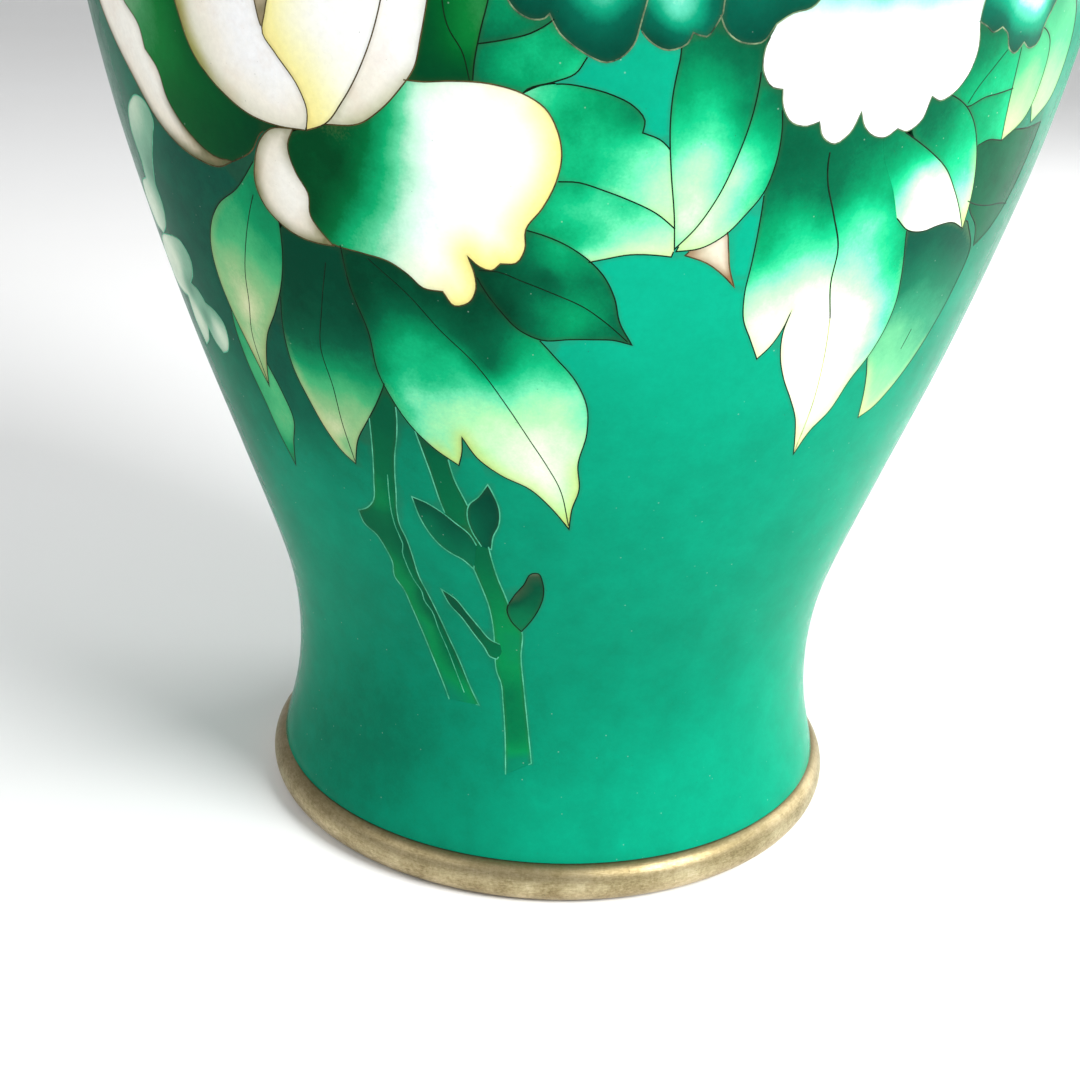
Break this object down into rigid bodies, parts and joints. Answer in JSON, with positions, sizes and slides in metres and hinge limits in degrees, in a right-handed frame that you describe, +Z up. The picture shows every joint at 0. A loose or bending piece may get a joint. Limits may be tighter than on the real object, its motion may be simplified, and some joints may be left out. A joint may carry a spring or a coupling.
{
  "type": "cloisonne vase",
  "caption": "Baluster vase of enamelled copper with a waisted foot, full shoulder, short neck and silver rims, decorated with peonies and leaves in wire cloisonne.",
  "frame": {"origin": "centre of the foot ring's underside, on the vase's axis at floor level", "axes": "+Z up along the axis, the decorated front faces -Y, +X to the right as seen from the front"},
  "size_m": [0.1552, 0.1556, 0.254],
  "materials": {
    "copper": "spun and annealed copper, dull",
    "tarnished_silver": "warm tarnished silver, satin with pits and handling marks",
    "counter_enamel": "glossy counter-enamel, slightly mottled",
    "ground_enamel": "polished turquoise-green enamel with fine pits",
    "enamel_white": "polished opaque white enamel shading to green at the base",
    "enamel_cream": "polished cream enamel, slightly speckled",
    "enamel_yellow": "polished enamel shading from yellow to white",
    "enamel_teal": "polished dark teal enamel shading to mint",
    "enamel_leaf": "polished enamel shading from dark green through bright green to pale cream",
    "enamel_dark": "polished dark green enamel",
    "enamel_pale": "polished pale green enamel",
    "enamel_stem": "polished mid-green enamel that fades into the ground",
    "enamel_bud": "polished dark green to brown enamel"
  },
  "bodies": {
    "root": {"base_plate": "copper", "body_copper": "copper", "bud_left": "enamel_bud", "bud_side": "enamel_bud", "bud_upright": "enamel_bud", "enamel_ground": "ground_enamel", "enamel_ground_patch": "ground_enamel", "enamel_interior": "counter_enamel", "enamel_underside": "counter_enamel", "flower_back_heart": "enamel_yellow", "flower_back_petals": "enamel_white", "foot_ring": "tarnished_silver", "leaf_back_left": "enamel_leaf", "leaf_back_low": "enamel_leaf", "leaf_back_right": "enamel_leaf", "leaf_broad": "enamel_leaf", "leaf_cream_tip": "enamel_cream", "leaf_crown_left": "enamel_leaf", "leaf_crown_low": "enamel_leaf", "leaf_crown_middle": "enamel_leaf", "leaf_dark_pointed": "enamel_dark", "leaf_dark_right": "enamel_dark", "leaf_far_left": "enamel_pale", "leaf_far_left_high": "enamel_pale", "leaf_far_right": "enamel_pale", "leaf_left": "enamel_leaf", "leaf_left_low": "enamel_leaf", "leaf_narrow": "enamel_leaf", "leaf_narrow_right": "enamel_leaf", "leaf_pale_right": "enamel_pale", "leaf_right_large": "enamel_white", "leaf_right_low": "enamel_leaf", "leaf_split_lower": "enamel_leaf", "leaf_split_upper": "enamel_leaf", "leaf_upright_left": "enamel_leaf", "leaf_upright_right": "enamel_leaf", "leaf_veined_lower": "enamel_leaf", "leaf_veined_upper": "enamel_leaf", "leaf_white_tip": "enamel_white", "mouth_ring": "tarnished_silver", "petal_blush_back": "enamel_cream", "petal_cream_crescent": "enamel_cream", "petal_cream_curl": "enamel_cream", "petal_green_left": "enamel_dark", "petal_large_lobed": "enamel_white", "petal_teal_crown": "enamel_teal", "petal_teal_far": "enamel_teal", "petal_teal_left": "enamel_teal", "petal_teal_middle": "enamel_teal", "petal_teal_right": "enamel_teal", "petal_white_crown": "enamel_white", "petal_white_left": "enamel_white", "petal_white_right": "enamel_white", "petal_white_scalloped": "enamel_white", "petal_yellow_centre": "enamel_yellow", "stem_back": "enamel_stem", "stem_left": "enamel_stem", "stem_right": "enamel_stem", "stem_upper": "enamel_stem", "twig_dark": "enamel_dark"}
  },
  "joints": []
}
